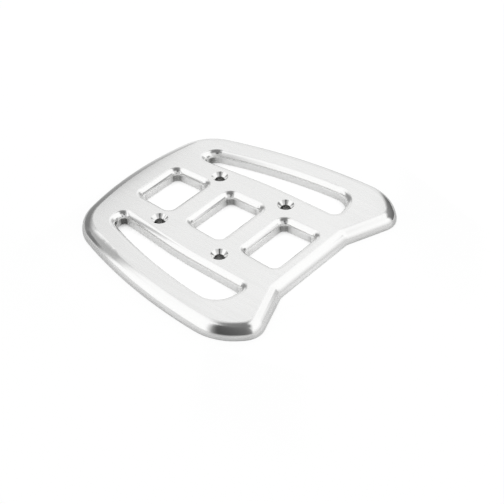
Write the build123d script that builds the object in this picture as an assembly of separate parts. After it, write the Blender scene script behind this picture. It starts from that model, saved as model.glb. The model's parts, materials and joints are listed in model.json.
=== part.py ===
"""Motorcycle luggage rack: one milled aluminium plate with rounded edges, windows and strap slots.

Sizes are in millimetres. The plan is drawn from the middle of the rear edge, with X towards the
front and Y to the left. The finished plate is moved so that its origin is the middle of its box,
on the underside.
"""
from build123d import *
import os
from math import atan2, degrees, hypot, radians, sqrt, tan

# Plate
PLATE_THICKNESS = 12.7
DECK_ROUND = 11.0
UNDERSIDE_BREAK = 0.5
EDGE_LAND = 1.2

# Outline, with its corners as they are before rounding
REAR_EDGE_BOW = 13.6
REAR_CORNER_WIDTH = 188.6
SIDE_BOW = 10.5
SHOULDER_X = 220.2
SHOULDER_WIDTH = 264.8
HORN_X = 248.2
HORN_WIDTH = 209.0
FRONT_EDGE_X = 227.7
FRONT_EDGE_WIDTH = 99.4
REAR_CORNER_RADIUS = 48.0
SHOULDER_RADIUS = 58.0
HORN_RADIUS = 21.0
FRONT_BEND_RADIUS = 8.0

# Row of windows along the middle
WINDOW_COUNT = 3
WINDOW_PITCH = 66.2
WINDOW_LENGTH = 38.6
WINDOW_WIDTH = 60.5
REAR_WINDOW_WIDTH = 53.7
FIRST_WINDOW_X = 34.8
WINDOW_SIDE_TAPER = 2.2
WINDOW_CORNER_RADIUS = 6.0

# Strap slots
RIM_WIDTH = 30.5
SLOT_REAR_X = 43.0
SLOT_FRONT_MARGIN = 26.5
SLOT_FRONT_LEAN = 6.0
PANEL_REAR_WIDTH = 116.0
PANEL_FRONT_WIDTH = 137.2
PANEL_SIDE_BEND = 4.2
PANEL_BEND_RADIUS = 400.0
SLOT_REAR_INNER_RADIUS = 5.5
SLOT_REAR_OUTER_RADIUS = 12.0
SLOT_FRONT_INNER_RADIUS = 6.5
SLOT_FRONT_OUTER_RADIUS = 25.0

# Rounding of the deck's edge at the windows and slots
OPENING_ROUND = 6.5

# Countersunk screw holes
SCREW_BORE = 9.0
COUNTERSINK_DIAMETER = 16.4
COUNTERSINK_ANGLE = 90.0
REAR_SCREW_X = 75.9
REAR_SCREW_SPACING = 87.8
FRONT_SCREW_X = 154.5
FRONT_SCREW_SPACING = 97.8

# Largest share of a straight run that one rounded corner may take
LONG_SHARE = 0.62
SHORT_SHARE = 0.36


def limited(radius, turn, run):
    """Radius of a corner that turns by an angle in degrees, kept to the run beside it."""
    return min(radius, run / tan(radians(turn / 2)))


def turn_between(start, corner, end):
    """Angle in degrees by which the outline turns at a corner."""
    before = atan2(corner[1] - start[1], corner[0] - start[0])
    after = atan2(end[1] - corner[1], end[0] - corner[0])
    return abs((degrees(after - before) + 180) % 360 - 180)


def gap(start, end):
    """Distance between two points of the plan."""
    return hypot(end[0] - start[0], end[1] - start[1])


def mirrored(point):
    """The same point on the right-hand side."""
    return (point[0], -point[1])


def rounded(face, point, radius):
    """Round the corner of a face that lies nearest to a point of the plan."""
    corner = min(face.vertices(), key=lambda vertex: gap((vertex.X, vertex.Y), point))
    return fillet(corner, radius)


REAR_CORNER = (REAR_EDGE_BOW, REAR_CORNER_WIDTH / 2)
SHOULDER = (SHOULDER_X, SHOULDER_WIDTH / 2)
HORN = (HORN_X, HORN_WIDTH / 2)
FRONT_BEND = (FRONT_EDGE_X, FRONT_EDGE_WIDTH / 2)


def side_circle():
    """Centre and radius of the arc that the left long side follows."""
    chord = gap(REAR_CORNER, SHOULDER)
    radius = chord ** 2 / (8 * SIDE_BOW) + SIDE_BOW / 2
    along = ((SHOULDER[0] - REAR_CORNER[0]) / chord, (SHOULDER[1] - REAR_CORNER[1]) / chord)
    depth = radius - SIDE_BOW
    middle = ((REAR_CORNER[0] + SHOULDER[0]) / 2, (REAR_CORNER[1] + SHOULDER[1]) / 2)
    return (middle[0] + along[1] * depth, middle[1] - along[0] * depth), radius


def plate_outline():
    """Outer edge: bowed rear and sides, shoulders cut down to the horns, and a front set back between."""
    centre, radius = side_circle()
    crown_x = (REAR_CORNER[0] + SHOULDER[0]) / 2
    crown = (crown_x, centre[1] + sqrt(radius ** 2 - (crown_x - centre[0]) ** 2))
    rear = ThreePointArc(mirrored(REAR_CORNER), (0, 0), REAR_CORNER)
    left = ThreePointArc(REAR_CORNER, crown, SHOULDER)
    right = ThreePointArc(mirrored(SHOULDER), mirrored(crown), mirrored(REAR_CORNER))
    left_front = (SHOULDER, HORN, FRONT_BEND)
    right_front = [mirrored(point) for point in reversed(left_front)]
    front = Polyline(*left_front, *right_front)
    face = make_face(Curve() + [rear, left, front, right])
    cut = gap(SHOULDER, HORN)
    flare = gap(HORN, FRONT_BEND)
    shoulder_turn = turn_between(crown, SHOULDER, HORN)
    horn_turn = turn_between(SHOULDER, HORN, FRONT_BEND)
    bend_turn = turn_between(HORN, FRONT_BEND, mirrored(FRONT_BEND))
    corners = (
        (REAR_CORNER, REAR_CORNER_RADIUS),
        (SHOULDER, limited(SHOULDER_RADIUS, shoulder_turn, LONG_SHARE * cut)),
        (HORN, limited(HORN_RADIUS, horn_turn, SHORT_SHARE * min(cut, flare))),
        (FRONT_BEND, limited(FRONT_BEND_RADIUS, bend_turn, SHORT_SHARE * min(flare, FRONT_EDGE_WIDTH))),
    )
    for point, radius in corners:
        face = rounded(face, point, radius)
        face = rounded(face, mirrored(point), radius)
    return face


def window(index):
    """One window of the row, counted from the rear, a little wider at its front end."""
    width = REAR_WINDOW_WIDTH if index == 0 else WINDOW_WIDTH
    spread = WINDOW_LENGTH / 2 * tan(radians(WINDOW_SIDE_TAPER))
    rear_x = FIRST_WINDOW_X + index * WINDOW_PITCH
    front_x = rear_x + WINDOW_LENGTH
    rear_y = width / 2 - spread
    front_y = width / 2 + spread
    left = ((front_x, front_y), (rear_x, rear_y))
    right = [mirrored(point) for point in reversed(left)]
    face = make_face(Polyline(*left, *right, close=True))
    radius = min(WINDOW_CORNER_RADIUS, SHORT_SHARE * min(WINDOW_LENGTH, 2 * rear_y))
    return fillet(face.vertices(), radius)


def left_slot():
    """Strap slot beside the middle panel, with its outer wall parallel to the plate's left side."""
    centre, side_radius = side_circle()

    def rim_y(x):
        return centre[1] + sqrt((side_radius - RIM_WIDTH) ** 2 - (x - centre[0]) ** 2)

    front_inner_x = FRONT_EDGE_X - SLOT_FRONT_MARGIN
    front_outer_x = front_inner_x - SLOT_FRONT_LEAN
    middle_x = (SLOT_REAR_X + front_outer_x) / 2
    rear_inner = (SLOT_REAR_X, PANEL_REAR_WIDTH / 2)
    rear_outer = (SLOT_REAR_X, rim_y(SLOT_REAR_X))
    front_inner = (front_inner_x, PANEL_FRONT_WIDTH / 2)
    front_outer = (front_outer_x, rim_y(front_outer_x))
    bend = ((SLOT_REAR_X + front_inner_x) / 2, (rear_inner[1] + front_inner[1]) / 2 + PANEL_SIDE_BEND)
    straights = Polyline(rear_outer, rear_inner, bend, front_inner, front_outer)
    outer = ThreePointArc(front_outer, (middle_x, rim_y(middle_x)), rear_outer)
    face = make_face(Curve() + [straights, outer])
    rear_width = gap(rear_inner, rear_outer)
    front_width = gap(front_inner, front_outer)
    corners = (
        (bend, limited(PANEL_BEND_RADIUS, turn_between(rear_inner, bend, front_inner),
                       SHORT_SHARE * gap(rear_inner, bend))),
        (rear_inner, limited(SLOT_REAR_INNER_RADIUS, turn_between(rear_outer, rear_inner, bend),
                             SHORT_SHARE * rear_width)),
        (rear_outer, limited(SLOT_REAR_OUTER_RADIUS, turn_between(rear_inner, rear_outer, front_outer),
                             LONG_SHARE * rear_width)),
        (front_inner, limited(SLOT_FRONT_INNER_RADIUS, turn_between(bend, front_inner, front_outer),
                              SHORT_SHARE * front_width)),
        (front_outer, limited(SLOT_FRONT_OUTER_RADIUS, turn_between(front_inner, front_outer, rear_outer),
                              LONG_SHARE * front_width)),
    )
    for point, radius in corners:
        face = rounded(face, point, radius)
    return face


def screw_hole(x, y):
    """Countersunk through hole, as a body to cut away."""
    bore = Pos(x, y, PLATE_THICKNESS / 2) * Cylinder(SCREW_BORE / 2, 2 * PLATE_THICKNESS)
    half_angle = radians(COUNTERSINK_ANGLE / 2)
    depth = COUNTERSINK_DIAMETER / 2 / tan(half_angle)
    cone = Cone(0, COUNTERSINK_DIAMETER / 2, depth, align=(Align.CENTER, Align.CENTER, Align.MAX))
    return bore + Pos(x, y, PLATE_THICKNESS) * cone


def rack_plate():
    """The whole rack in one piece."""
    outline = plate_outline()
    slot = left_slot()
    openings = [window(index) for index in range(WINDOW_COUNT)] + [slot, mirror(slot, about=Plane.XZ)]
    plate = extrude(outline - openings, PLATE_THICKNESS)

    wall = PLATE_THICKNESS - UNDERSIDE_BREAK - EDGE_LAND
    deck_round = min(DECK_ROUND, wall, SHORT_SHARE * 2 * HORN_RADIUS)
    deck = plate.faces().sort_by(Axis.Z)[-1]
    plate = fillet(deck.outer_wire().edges(), deck_round)
    deck = plate.faces().sort_by(Axis.Z)[-1]
    opening_edges = [edge for wire in deck.inner_wires() for edge in wire.edges()]
    plate = fillet(opening_edges, min(OPENING_ROUND, wall))
    underside = plate.faces().sort_by(Axis.Z)[0]
    plate = chamfer(underside.outer_wire().edges(), UNDERSIDE_BREAK)

    for x, spacing in ((REAR_SCREW_X, REAR_SCREW_SPACING), (FRONT_SCREW_X, FRONT_SCREW_SPACING)):
        for side in (1, -1):
            plate = plate - screw_hole(x, side * spacing / 2)

    return Pos(-outline.bounding_box().center().X, 0, 0) * plate


os.makedirs("parts", exist_ok=True)
export_step(rack_plate(), "parts/rack_plate.step")
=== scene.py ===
import json
from functools import reduce
from math import cos, pi, radians, sin
from operator import add
from typing import NamedTuple

import bpy
from bpy.props import FloatProperty, FloatVectorProperty, PointerProperty
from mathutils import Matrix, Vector

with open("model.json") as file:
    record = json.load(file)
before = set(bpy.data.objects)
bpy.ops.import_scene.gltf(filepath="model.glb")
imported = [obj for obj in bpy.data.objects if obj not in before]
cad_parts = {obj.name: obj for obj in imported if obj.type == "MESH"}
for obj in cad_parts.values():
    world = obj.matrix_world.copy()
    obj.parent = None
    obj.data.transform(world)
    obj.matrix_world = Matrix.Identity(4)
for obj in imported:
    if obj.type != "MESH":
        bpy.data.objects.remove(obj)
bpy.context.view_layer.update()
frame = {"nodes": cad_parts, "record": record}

bl_info = {
    "name": "Luggage rack plate",
    "version": (1, 0, 0),
    "blender": (4, 5, 0),
    "location": "View3D > Sidebar > Rack",
    "description": "Machined aluminium finish and studio for a motorcycle luggage rack plate",
    "category": "Object",
}

PLATE = "rack_plate"
MM = 0.001
WHITE = (1, 1, 1, 1)

# Sockets that share a name, by number: of a Mix node set to colours, and of a Mix Shader node
COLOUR_FACTOR, COLOUR_A, COLOUR_B, COLOUR_RESULT = 0, 6, 7, 2
SHADER_FACTOR, SHADER_A, SHADER_B = 0, 1, 2

# Parts of the plate. Each pair holds the two values between which a mask rises or falls.
# The upward part of the normal tells the deck, the underside, and slopes from upright walls.
DECK_FACING = (0.985, 0.9995)
UNDERSIDE_FACING = (0.9, 0.99)
SLOPE_FACING = (0.05, 0.25)
# The distance from a screw hole's axis tells its countersink and its bore, which gets painted
# shade.
COUNTERSINK_EDGE = (8.3 * MM, 8.6 * MM)
BORE_EDGE = (4.6 * MM, 4.9 * MM)
# The plan tells the middle, which holds the openings and flares towards the front.
MIDDLE_END = (88 * MM, 94 * MM)
MIDDLE_SIDE = (98 * MM, 104 * MM)
MIDDLE_FLARE = 0.25
# Painted shade goes into a rear left inner corner: it faces to the front and right, and sees its
# other wall close by.
CORNER_FACING = (0.9, 1.2)
CORNER_DISTANCE = 14 * MM
CORNER_HIDDEN = (0.03, 0.17)

# Patterns: detail of the finest, scale for each metre, and how far they are stretched upwards
FINE_DETAIL = 3.0
SMUDGE_SCALE = 22.0
POLISH_SCALE, POLISH_STRETCH = 260.0, 6
STREAK_SCALE, STREAK_STRETCH = 1400.0, 0.05
BROAD_GRAIN = 0.22
FINE_SHARE, BROAD_SHARE = 0.65, 0.35
CUTTER_ROW = 1.7
# How strongly painted shade darkens the bores
BORE_SHADE = 0.52

# Heights of the marks that the bump shows
SWIRL_DEPTH = 0.006 * MM
SCRATCH_DEPTH = 0.002 * MM
POLISH_DEPTH = 0.0015 * MM
STREAK_DEPTH = 0.0012 * MM
RING_DEPTH = 0.003 * MM

# Floor: its height, the contact shadow, the edge of the part under the plate, and its finish
FLOOR_Z = -0.2 * MM
CONTACT_DISTANCE = 30 * MM
CONTACT_SAMPLES = 8
CONTACT_CLEAR = (0.18, 0.6)
FLOOR_EDGE = (100 * MM, 130 * MM)
FLOOR_GLOW = 1.08
SHEEN_ROUGHNESS = 0.25
SHEEN_BASE = 0.08
SHEEN_GRAZING = (0.3, 0.75)

# How dark the studio is low down: to the left, to the right, behind, and on the right panel
LEFT_SHADE = 0.72
RIGHT_SHADE = 0.52
BACK_SHADE = 0.20
RIGHT_PANEL_SHADE = 0.28

SENSOR_WIDTH = 36.0


class Card(NamedTuple):
    """An upright card that the polished edges mirror, in metres and degrees."""

    name: str
    near: float  # from the middle of the plate towards the camera
    right: float  # from the middle of the plate to the camera's right
    turn: float  # about the upright
    bottom: tuple  # start and end of the lower edge
    top: tuple  # start and end of the upper edge
    height: float
    low: tuple  # brightness at the start and end of the lower edge
    high: tuple  # brightness at the start and end of the upper edge
    fade: float  # width of the soft edge


CARDS = (
    Card("grey_card_right", near=-0.057, right=0.211, turn=124.0,
         bottom=(-0.080, 0.080), top=(-0.080, 0.080), height=0.125,
         low=(0.10, 0.10), high=(0.34, 0.34), fade=0.035),
    Card("grey_card_left", near=0.008, right=-0.228, turn=-168.0,
         bottom=(-0.070, 0.110), top=(-0.150, 0.110), height=0.165,
         low=(0.50, 0.50), high=(0.38, 0.38), fade=0.060),
    Card("dark_card_front", near=0.180, right=0.026, turn=-24.0,
         bottom=(-0.053, 0.056), top=(-0.080, 0.056), height=0.112,
         low=(0.06, 0.40), high=(0.16, 0.22), fade=0.018),
    Card("grey_card_rear", near=-0.0865, right=-0.105, turn=50.5,
         bottom=(-0.150, 0.110), top=(-0.150, 0.110), height=0.043,
         low=(0.17, 1.30), high=(0.18, 0.26), fade=0.010),
)
CARD_FOOT = (3 * MM, 7.5 * MM)


def screw_axes():
    """Plan places of the countersunk holes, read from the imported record's screw mounts."""
    axes = []
    for mount in frame["record"]["mounts"]:
        if mount["kind"] == "bolt_pattern":
            half = mount["dims"]["spacing_y_mm"] * MM / 2
            x, y, _ = mount["pos_m"]
            axes += [(x, y + half), (x, y - half)]
    return axes


def turns(*degrees):
    """Angles around the plate, in radians."""
    return [radians(angle) for angle in degrees]


def heights(*degrees):
    """Upward parts of unit vectors at these angles above the floor."""
    return [sin(radians(angle)) for angle in degrees]


class Field:
    """A number that changes over a surface: Python arithmetic on it adds Math nodes."""

    def __init__(self, shader, socket):
        self.shader = shader
        self.socket = socket

    def _math(self, operation, *operands):
        inputs = dict(enumerate(operands))
        return self.shader.field("ShaderNodeMath", {"operation": operation}, inputs, "Value")

    def __add__(self, other):
        return self._math("ADD", self, other)

    __radd__ = __add__

    def __sub__(self, other):
        return self._math("SUBTRACT", self, other)

    def __rsub__(self, other):
        return self._math("SUBTRACT", other, self)

    def __mul__(self, other):
        return self._math("MULTIPLY", self, other)

    __rmul__ = __mul__

    def __truediv__(self, other):
        return self._math("DIVIDE", self, other)

    def __rtruediv__(self, other):
        return self._math("DIVIDE", other, self)

    def __neg__(self):
        return self * -1

    def __abs__(self):
        return self._math("ABSOLUTE", self)

    def sqrt(self):
        return self._math("SQRT", self)

    def sine(self):
        return self._math("SINE", self)

    def rounded(self):
        return self._math("ROUND", self)

    def least(self, other):
        return self._math("MINIMUM", self, other)

    def most(self, other):
        return self._math("MAXIMUM", self, other)

    def angle(self, other):
        """Angle whose tangent is this number over the other."""
        return self._math("ARCTAN2", self, other)

    def rise(self, low, high):
        """0 below low, 1 above high, and a smooth step between them."""
        inputs = {"Value": self, "From Min": low, "From Max": high, "To Min": 0, "To Max": 1}
        settings = {"interpolation_type": "SMOOTHSTEP"}
        return self.shader.field("ShaderNodeMapRange", settings, inputs, "Result")

    def fall(self, low, high):
        """1 below low, 0 above high, and a smooth step between them."""
        return 1 - self.rise(low, high)

    def between(self, first, second):
        """The first value where this number is 0, the second where it is 1."""
        return first * (1 - self) + second * self


class Shader:
    """Adds nodes to one node tree."""

    def __init__(self, tree):
        self.tree = tree
        tree.nodes.clear()

    def node(self, kind, settings=None, inputs=None):
        """One node of any type: its settings are set first, then its sockets' values and links."""
        made = self.tree.nodes.new(kind)
        for name, value in (settings or {}).items():
            setattr(made, name, value)
        for name, value in (inputs or {}).items():
            socket = made.inputs[name]
            if isinstance(value, Field):
                self.tree.links.new(value.socket, socket)
            elif isinstance(value, bpy.types.NodeSocket):
                self.tree.links.new(value, socket)
            else:
                socket.default_value = value
        return made

    def field(self, kind, settings, inputs, output):
        """One output of a new node, as a number for arithmetic."""
        return Field(self, self.node(kind, settings, inputs).outputs[output])

    def parts(self, vector):
        """The three components of a vector socket."""
        split = self.node("ShaderNodeSeparateXYZ", None, {"Vector": vector})
        return [Field(self, split.outputs[axis]) for axis in "XYZ"]

    def along(self, vector, direction):
        """Length of a vector along a fixed direction."""
        inputs = {0: vector, 1: direction}
        return self.field("ShaderNodeVectorMath", {"operation": "DOT_PRODUCT"}, inputs, "Value")

    def rays(self, *kinds):
        """1 for rays of each kind that is named, 0 for others."""
        path = self.node("ShaderNodeLightPath")
        return [Field(self, path.outputs[kind]) for kind in kinds]

    def noise(self, x, y, z, scale, detail=2.0):
        """Noise from 0 to 1 over the three given coordinates."""
        place = self.node("ShaderNodeCombineXYZ", None, {"X": x, "Y": y, "Z": z})
        inputs = {"Vector": place.outputs["Vector"], "Scale": scale, "Detail": detail}
        return self.field("ShaderNodeTexNoise", {"noise_dimensions": "3D"}, inputs, "Fac")

    def blend(self, factor, first, second):
        """Colour between two colours."""
        inputs = {COLOUR_FACTOR: factor, COLOUR_A: first, COLOUR_B: second}
        mixer = self.node("ShaderNodeMix", {"data_type": "RGBA"}, inputs)
        return mixer.outputs[COLOUR_RESULT]

    def layer(self, factor, first, second):
        """Surface between two surfaces."""
        inputs = {SHADER_FACTOR: factor, SHADER_A: first, SHADER_B: second}
        return self.node("ShaderNodeMixShader", None, inputs).outputs["Shader"]


def new_material(name):
    """A material with no nodes yet, and the shader that adds them."""
    material = bpy.data.materials.new(name)
    material.use_nodes = True
    return material, Shader(material.node_tree)


def flat_sheet(context, name, corners, material):
    """A flat sheet with four corners."""
    mesh = bpy.data.meshes.new(name)
    mesh.from_pydata(corners, [], [(0, 1, 2, 3)])
    mesh.materials.append(material)
    sheet = bpy.data.objects.new(name, mesh)
    context.scene.collection.objects.link(sheet)
    return sheet


def distance(x, y):
    """Distance in the plan."""
    return (x * x + y * y).sqrt()


def swing(pattern):
    """A pattern from 0 to 1, moved to lie evenly about 0."""
    return pattern - 0.5


def wave(length, pitch):
    """Ridges from 0 to 1 along a length."""
    return (length * (2 * pi / pitch)).sine() * 0.5 + 0.5


class Zone(NamedTuple):
    """A part of the plate: its mask, its roughness, the height of its marks, and its tint."""

    mask: Field
    rough: Field
    height: Field
    tint: Field


def patchwork(zones, quality):
    """One quality of the zones, each where its own mask is 1."""
    return reduce(add, [zone.mask * getattr(zone, quality) for zone in zones])


def camera_plan(stage):
    """Level directions from the plate: towards the camera, and to the camera's right."""
    ahead = Vector((sin(stage.azimuth), -cos(stage.azimuth), 0))
    beside = Vector((cos(stage.azimuth), sin(stage.azimuth), 0))
    return ahead, beside


class RackFinish(bpy.types.PropertyGroup):
    """Finish of the plate."""

    metal: FloatVectorProperty(
        name="Metal", description="Colour of bare aluminium",
        subtype="COLOR", default=(0.92, 0.92, 0.915), min=0, max=1)
    metal_shade: FloatVectorProperty(
        name="Metal shade", description="Colour in the valleys of the grain and in tool marks",
        subtype="COLOR", default=(0.85, 0.85, 0.845), min=0, max=1)
    # Painted shade: this dark colour is laid into the bores and into the openings' rear left inner
    # corners, where shade falls; the metal there is no darker
    painted_shade: FloatVectorProperty(
        name="Dark metal", description="Colour of the bores and of the openings' rear left corners",
        subtype="COLOR", default=(0.16, 0.16, 0.155), min=0, max=1)
    deck_roughness: FloatProperty(
        name="Deck roughness", description="Roughness of the satin deck",
        default=0.27, min=0, max=1, subtype="FACTOR")
    edge_roughness: FloatProperty(
        name="Edge roughness", description="Roughness of the polished round-overs",
        default=0.17, min=0, max=1, subtype="FACTOR")
    wall_roughness: FloatProperty(
        name="Wall roughness", description="Roughness of the milled walls",
        default=0.42, min=0, max=1, subtype="FACTOR")
    hole_roughness: FloatProperty(
        name="Countersink roughness", description="Roughness of the turned countersinks",
        default=0.14, min=0, max=1, subtype="FACTOR")
    grain_width: FloatProperty(
        name="Grain width", description="Width of one brush line on the deck",
        default=0.7 * MM, unit="LENGTH")
    grain_length: FloatProperty(
        name="Grain length", description="Length of one brush line on the deck",
        default=55 * MM, unit="LENGTH")
    grain_depth: FloatProperty(
        name="Grain depth", description="Height of the brush lines",
        default=0.006 * MM, precision=6, unit="LENGTH")
    ring_pitch: FloatProperty(
        name="Ring pitch", description="Spacing of the turning marks in the countersinks",
        default=0.45 * MM, precision=5, unit="LENGTH")
    cutter_radius: FloatProperty(
        name="Cutter radius", description="Radius of the face-milling arcs on the underside",
        default=34 * MM, unit="LENGTH")
    cutter_feed: FloatProperty(
        name="Cutter feed", description="Spacing of the face-milling arcs on the underside",
        default=1.4 * MM, precision=5, unit="LENGTH")


class RackStage(bpy.types.PropertyGroup):
    """Camera, floor and light."""

    azimuth: FloatProperty(
        name="Azimuth",
        description="Camera's angle around the plate, from the right-hand side towards the front",
        default=radians(39.53), subtype="ANGLE", unit="ROTATION")
    elevation: FloatProperty(
        name="Elevation", description="Camera's angle above the floor",
        default=radians(38.86), subtype="ANGLE", unit="ROTATION")
    distance: FloatProperty(
        name="Distance", description="From the camera to the point that it looks at",
        default=1.35237, unit="LENGTH")
    target: FloatVectorProperty(
        name="Target", description="Point that the camera looks at",
        default=(0.04319, -0.0152, 0.0), subtype="XYZ", unit="LENGTH")
    lens: FloatProperty(
        name="Lens", description="Focal length in millimetres on a sensor 36 mm wide",
        default=103.57, min=1)
    floor_size: FloatProperty(
        name="Floor", description="Side of the square floor", default=12.0, unit="LENGTH")
    floor_colour: FloatVectorProperty(
        name="Floor colour", description="Pale floor under the plate",
        subtype="COLOR", default=(0.9, 0.9, 0.9), min=0, max=1)
    # The floor round the plate is darker than the floor under it, so that the metal mirrors a
    # darker floor there
    floor_outer: FloatVectorProperty(
        name="Outer floor colour", description="Pale floor round the plate",
        subtype="COLOR", default=(0.5, 0.5, 0.5), min=0, max=1)
    floor_sheen: FloatProperty(
        name="Floor sheen", description="Share of satin gloss in the floor at a low angle",
        default=0.25, min=0, max=1, subtype="FACTOR")
    floor_white: FloatProperty(
        name="Floor white", description="Share of plain white in the floor as the camera sees it",
        default=0.86, min=0, max=1, subtype="FACTOR")
    floor_mirrored: FloatProperty(
        name="Mirrored floor",
        description="Share of plain white in the floor as the metal mirrors it",
        default=0.3, min=0, max=1, subtype="FACTOR")
    floor_rim: FloatProperty(
        name="Mirrored outer floor",
        description="Share of plain white in the outer floor as the metal mirrors it",
        default=0.2, min=0, max=1, subtype="FACTOR")
    side_light: FloatProperty(
        name="Side light", description="Brightness of the soft panels at both sides",
        default=1.08, min=0)
    back_light: FloatProperty(
        name="Back light", description="Brightness of the soft panel behind the plate",
        default=1.08, min=0)
    matt_gain: FloatProperty(
        name="Matt gain",
        description="Extra light on matt surfaces, so that the floor keeps its own colour",
        default=0.4, min=0)
    front_dark: FloatProperty(
        name="Front strip", description="Brightness of the dark strip high behind the camera",
        default=0.05, min=0)
    front_left: FloatProperty(
        name="Front left", description="Brightness of the room to the left of the camera",
        default=0.54, min=0)
    front_right: FloatProperty(
        name="Front right", description="Brightness of the room to the right of the camera",
        default=0.7, min=0)
    ceiling_dark: FloatProperty(
        name="Ceiling", description="Brightness of the dark ceiling", default=0.2, min=0)


class RACK_OT_finish_plate(bpy.types.Operator):
    """Give the plate a brushed deck, polished round-overs, milled walls and turned countersinks,
    with painted shade in the bores and in the openings' rear left inner corners
    """

    bl_idname = "rack.finish_plate"
    bl_label = "Finish the plate"

    def execute(self, context):
        plate = frame["nodes"].get(PLATE)
        if plate is None:
            raise RuntimeError("the packed model has no node named " + PLATE)
        material = self.aluminium(context.scene.rack_finish)
        for slot in plate.material_slots:
            slot.material = material
        return {"FINISHED"}

    def aluminium(self, finish):
        """One metal for the whole plate, with its own marks on each part, and painted shade in the
        bores and in the openings' rear left inner corners.
        """
        material, shader = new_material("machined_aluminium")
        coords = shader.node("ShaderNodeTexCoord")
        x, y, z = shader.parts(coords.outputs["Object"])
        lean_x, lean_y, facing = shader.parts(coords.outputs["Normal"])

        deck = facing.rise(*DECK_FACING)
        underside = (-facing).rise(*UNDERSIDE_FACING)
        wall = abs(facing).fall(*SLOPE_FACING)
        reaches = [distance(x - hole_x, y - hole_y) for hole_x, hole_y in screw_axes()]
        reach = reduce(Field.least, reaches)
        hole = reach.fall(*COUNTERSINK_EDGE) * (1 - deck) * (1 - underside)
        # The bore mask only places painted shade, for the dark inside the deep hole
        bore = hole * reach.fall(*BORE_EDGE)
        edge = (1 - deck) * (1 - underside) * (1 - wall) * (1 - hole)
        side = wall * (1 - hole)

        # Painted shade in the openings' rear left inner corners, darkest where the other wall hides
        # most of the view
        middle = (abs(y) - MIDDLE_FLARE * x).fall(*MIDDLE_SIDE) * abs(x).fall(*MIDDLE_END)
        open_air = shader.field(
            "ShaderNodeAmbientOcclusion", {"only_local": True}, {"Distance": CORNER_DISTANCE}, "AO")
        rear_left = (lean_x - lean_y).rise(*CORNER_FACING)
        corner_shade = (1 - open_air).rise(*CORNER_HIDDEN) * rear_left * middle * side

        stretch = finish.grain_width / finish.grain_length
        fine = shader.noise(x * stretch, y, z, 1 / finish.grain_width, FINE_DETAIL)
        broad = shader.noise(x * stretch, y, z, BROAD_GRAIN / finish.grain_width)
        grain = fine * FINE_SHARE + broad * BROAD_SHARE
        smudge = shader.noise(x, y, z, SMUDGE_SCALE, FINE_DETAIL)
        polish = shader.noise(x, y, z * POLISH_STRETCH, POLISH_SCALE)
        streak = shader.noise(x, y, z * STREAK_STRETCH, STREAK_SCALE)
        ring = wave(z, finish.ring_pitch)
        row = CUTTER_ROW * finish.cutter_radius
        lane = y - (y / row).rounded() * row
        sweep = x - (finish.cutter_radius * finish.cutter_radius - lane * lane).sqrt()
        swirl = wave(sweep, finish.cutter_feed)

        zones = (
            Zone(deck,
                 rough=finish.deck_roughness + 0.16 * swing(grain) + 0.06 * swing(smudge),
                 height=grain * finish.grain_depth,
                 tint=0.75 - 0.65 * swing(grain) - 0.3 * swing(smudge)),
            Zone(underside,
                 rough=finish.deck_roughness - 0.06 + 0.10 * swing(swirl),
                 height=swirl * SWIRL_DEPTH + fine * SCRATCH_DEPTH,
                 tint=0.55 + 0.3 * swing(swirl)),
            Zone(edge,
                 rough=finish.edge_roughness + 0.06 * swing(smudge) + 0.04 * swing(polish),
                 height=polish * POLISH_DEPTH,
                 tint=0.95 - 0.15 * swing(smudge)),
            Zone(side,
                 rough=finish.wall_roughness + 0.14 * swing(streak),
                 height=streak * STREAK_DEPTH,
                 tint=0.6 + 0.4 * swing(streak)),
            Zone(hole,
                 rough=finish.hole_roughness + 0.10 * swing(ring),
                 height=ring * RING_DEPTH,
                 tint=0.7 + 0.3 * swing(ring)),
        )
        rough, height, tint = (patchwork(zones, name) for name in ("rough", "height", "tint"))
        # Painted shade: the bores and the rear left inner corners are blended towards the dark
        # colour
        dark = (BORE_SHADE * bore).most(corner_shade)
        colour = shader.blend(tint, (*finish.metal_shade, 1), (*finish.metal, 1))
        colour = shader.blend(dark, colour, (*finish.painted_shade, 1))
        bump = shader.node(
            "ShaderNodeBump", None, {"Height": height, "Strength": 1.0, "Distance": 1.0})
        surface = shader.node("ShaderNodeBsdfPrincipled", None, {
            "Base Color": colour,
            "Metallic": 1.0,
            "Roughness": rough,
            "Normal": bump.outputs["Normal"],
        })
        shader.node("ShaderNodeOutputMaterial", None, {"Surface": surface.outputs["BSDF"]})
        return material


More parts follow.
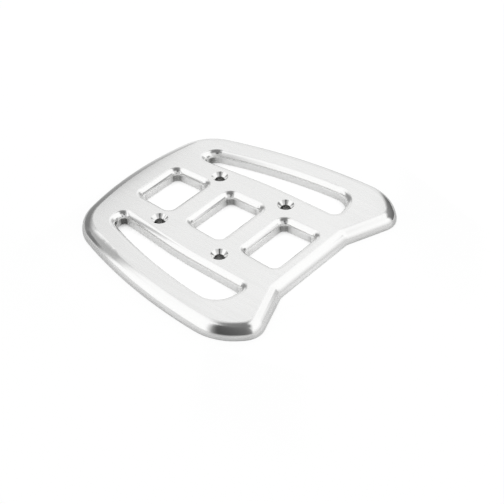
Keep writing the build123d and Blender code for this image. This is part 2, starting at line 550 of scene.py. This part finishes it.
class RACK_OT_build_stage(bpy.types.Operator):
    """Add the pale floor, the cards, the soft studio light and the camera"""

    bl_idname = "rack.build_stage"
    bl_label = "Build the stage"

    def execute(self, context):
        stage = context.scene.rack_stage
        self.add_floor(context, stage)
        self.add_cards(context, stage)
        self.add_light(context, stage)
        self.add_camera(context, stage)
        context.scene.view_settings.view_transform = "Standard"
        return {"FINISHED"}

    def add_floor(self, context, stage):
        """A floor that is white to the camera, apart from the shadow where the plate meets it."""
        material, shader = new_material("pale_floor")
        seen, mirrored, through = shader.rays(
            "Is Camera Ray", "Is Glossy Ray", "Is Transmission Ray")
        open_sky = shader.field(
            "ShaderNodeAmbientOcclusion", {"samples": CONTACT_SAMPLES},
            {"Distance": CONTACT_DISTANCE}, "AO")
        clear = open_sky.rise(*CONTACT_CLEAR)
        x, y, _ = shader.parts(shader.node("ShaderNodeTexCoord").outputs["Object"])
        outer = distance(x, y).rise(*FLOOR_EDGE)
        to_metal = outer.between(clear * stage.floor_mirrored, stage.floor_rim)
        share = (seen * clear * stage.floor_white
                 + mirrored.most(through) * (1 - seen) * to_metal)
        # Darker floor round the plate than under it
        paper = shader.blend(outer, (*stage.floor_colour, 1), (*stage.floor_outer, 1))
        matt = shader.node("ShaderNodeBsdfDiffuse", None, {"Color": paper})
        sheen = shader.node(
            "ShaderNodeBsdfGlossy", None, {"Color": WHITE, "Roughness": SHEEN_ROUGHNESS})
        white = shader.node(
            "ShaderNodeEmission", None, {"Color": WHITE, "Strength": FLOOR_GLOW})
        grazing = shader.field("ShaderNodeLayerWeight", None, None, "Facing")
        gloss = SHEEN_BASE + stage.floor_sheen * grazing.rise(*SHEEN_GRAZING)
        satin = shader.layer(gloss, matt.outputs["BSDF"], sheen.outputs["BSDF"])
        surface = shader.layer(share, satin, white.outputs["Emission"])
        shader.node("ShaderNodeOutputMaterial", None, {"Surface": surface})
        half = stage.floor_size / 2
        plan = ((-half, -half), (half, -half), (half, half), (-half, half))
        corners = [(*place, FLOOR_Z) for place in plan]
        floor = flat_sheet(context, "studio_floor", corners, material)

    def add_cards(self, context, stage):
        """Cards that only the metal mirrors: they throw no shadow and stay out of the picture."""
        ahead, beside = camera_plan(stage)
        for row in CARDS:
            middle = row.near * ahead + row.right * beside
            along = cos(radians(row.turn)) * beside - sin(radians(row.turn)) * ahead
            lift = Vector((0, 0, row.height))
            corners = [middle + along * reach for reach in row.bottom]
            corners += [middle + along * reach + lift for reach in reversed(row.top)]
            material = self.card_material(row, middle, along)
            card = flat_sheet(context, row.name, corners, material)
            card.visible_camera = False
            card.visible_diffuse = False
            card.visible_shadow = False

    def card_material(self, row, middle, along):
        """Plain grey that changes over the card and fades out at its edges."""
        material, shader = new_material(row.name)
        place = shader.node("ShaderNodeTexCoord").outputs["Object"]
        rise = shader.parts(place)[2] / row.height
        reach = shader.along(place, along) - middle.dot(along)
        start = rise.between(row.bottom[0], row.top[0])
        end = rise.between(row.bottom[1], row.top[1])
        ends = (reach - start).rise(0, row.fade) * (end - reach).rise(0, row.fade)
        head = (row.height * (1 - rise)).rise(0, row.fade)
        foot = (row.height * rise).rise(*CARD_FOOT)
        across = (reach - start) / (end - start)
        ramp = across * across
        grey = rise.between(ramp.between(*row.low), ramp.between(*row.high))
        tone = shader.node("ShaderNodeEmission", None, {"Color": grey})
        clear = shader.node("ShaderNodeBsdfTransparent", None, {"Color": WHITE})
        body = ends * head * foot
        surface = shader.layer(body, clear.outputs["BSDF"], tone.outputs["Emission"])
        shader.node("ShaderNodeOutputMaterial", None, {"Surface": surface})
        return material

    def add_light(self, context, stage):
        """Soft panels at both sides and behind the plate, and a dimmer room in front and above."""
        world = bpy.data.worlds.new("soft_studio")
        context.scene.world = world
        world.use_nodes = True
        shader = Shader(world.node_tree)
        ray = shader.node("ShaderNodeTexCoord").outputs["Generated"]
        ahead, beside = camera_plan(stage)
        front = shader.along(ray, ahead)
        right = shader.along(ray, beside)
        up = shader.parts(ray)[2]
        around = right.angle(front)

        # Room: lighter to the right, with a dark ceiling and a dark strip high behind the camera,
        # which reaches 14 degrees to each side of a line 3 degrees to the camera's left
        strip = ((radians(14) - abs(around + radians(3))).rise(*turns(-4, 4))
                 * up.rise(*heights(24, 42)))
        room = around.rise(*turns(-20, 0)).between(stage.front_left, stage.front_right)
        room = strip.between(room, stage.front_dark)
        room = up.rise(*heights(48, 66)).between(room, stage.ceiling_dark)

        # Soft panels: each side panel has an upper edge and an edge towards the camera
        right_upper = (right - 0.20 * up).rise(-0.05, 0.05)
        right_front = (1.13 * right - 0.53 * up - front).rise(-0.12, 0.12)
        right_panel = right_upper * right_front
        left_upper = (-right - 0.9 * (up - 0.73)).rise(-0.06, 0.06)
        left_front = (-1.12 * right - 0.25 * up - front).rise(-0.15, 0.12)
        panels = right_panel.most(left_upper * left_front)
        right_dim = 1 - RIGHT_PANEL_SHADE * up.fall(-0.05, sin(radians(28))) * right_panel
        backdrop = abs(around).rise(*turns(150, 166)) * up.fall(*heights(45, 52))

        # Shade low down: to the left it reaches further round where it is higher
        left_end = -around - radians(15) * up.rise(*heights(20, 36))
        left_low = ((-around - 0.2 * up).rise(*turns(100, 116))
                    * left_end.fall(*turns(146, 165)) * up.fall(*heights(34, 50)))
        right_low = ((around - 0.8 * up).rise(*turns(106, 126))
                     * around.fall(*turns(154, 168)) * up.fall(*heights(32, 41)))
        back_low = backdrop * up.fall(*heights(28, 43))
        shade = (LEFT_SHADE * left_low).most(RIGHT_SHADE * right_low).most(BACK_SHADE * back_low)

        level = room * (1 - panels) + stage.side_light * panels * right_dim
        level = backdrop.between(level, stage.back_light) * (1 - shade)
        seen, matt = shader.rays("Is Camera Ray", "Is Diffuse Ray")
        level = level * (1 - seen) * (1 + stage.matt_gain * matt) + seen
        glow = shader.node("ShaderNodeBackground", None, {"Color": WHITE, "Strength": level})
        shader.node("ShaderNodeOutputWorld", None, {"Surface": glow.outputs["Background"]})

    def add_camera(self, context, stage):
        """The photograph's point of view."""
        ahead, _ = camera_plan(stage)
        toward = cos(stage.elevation) * ahead + Vector((0, 0, sin(stage.elevation)))
        data = bpy.data.cameras.new("photo_camera")
        data.sensor_fit = "HORIZONTAL"
        data.sensor_width = SENSOR_WIDTH
        data.lens = stage.lens
        camera = bpy.data.objects.new("photo_camera", data)
        camera.location = Vector(stage.target) + toward * stage.distance
        camera.rotation_euler = (-toward).to_track_quat("-Z", "Y").to_euler()
        context.scene.collection.objects.link(camera)
        context.scene.camera = camera


class RACK_PT_sidebar(bpy.types.Panel):
    """Sizes, colours and steps of the rack"""

    bl_idname = "RACK_PT_sidebar"
    bl_label = "Luggage rack"
    bl_space_type = "VIEW_3D"
    bl_region_type = "UI"
    bl_category = "Rack"

    def draw(self, context):
        for group in (context.scene.rack_finish, context.scene.rack_stage):
            box = self.layout.box()
            for name in group.__annotations__:
                box.prop(group, name)
        for operator in OPERATORS:
            self.layout.operator(operator.bl_idname)


OPERATORS = (RACK_OT_finish_plate, RACK_OT_build_stage)
CLASSES = (RackFinish, RackStage, *OPERATORS, RACK_PT_sidebar)


def register():
    for cls in CLASSES:
        bpy.utils.register_class(cls)
    bpy.types.Scene.rack_finish = PointerProperty(type=RackFinish)
    bpy.types.Scene.rack_stage = PointerProperty(type=RackStage)


def unregister():
    del bpy.types.Scene.rack_stage
    del bpy.types.Scene.rack_finish
    for cls in reversed(CLASSES):
        bpy.utils.unregister_class(cls)


def main():
    register()
    bpy.ops.rack.finish_plate()
    bpy.ops.rack.build_stage()


if __name__ == "__main__":
    main()
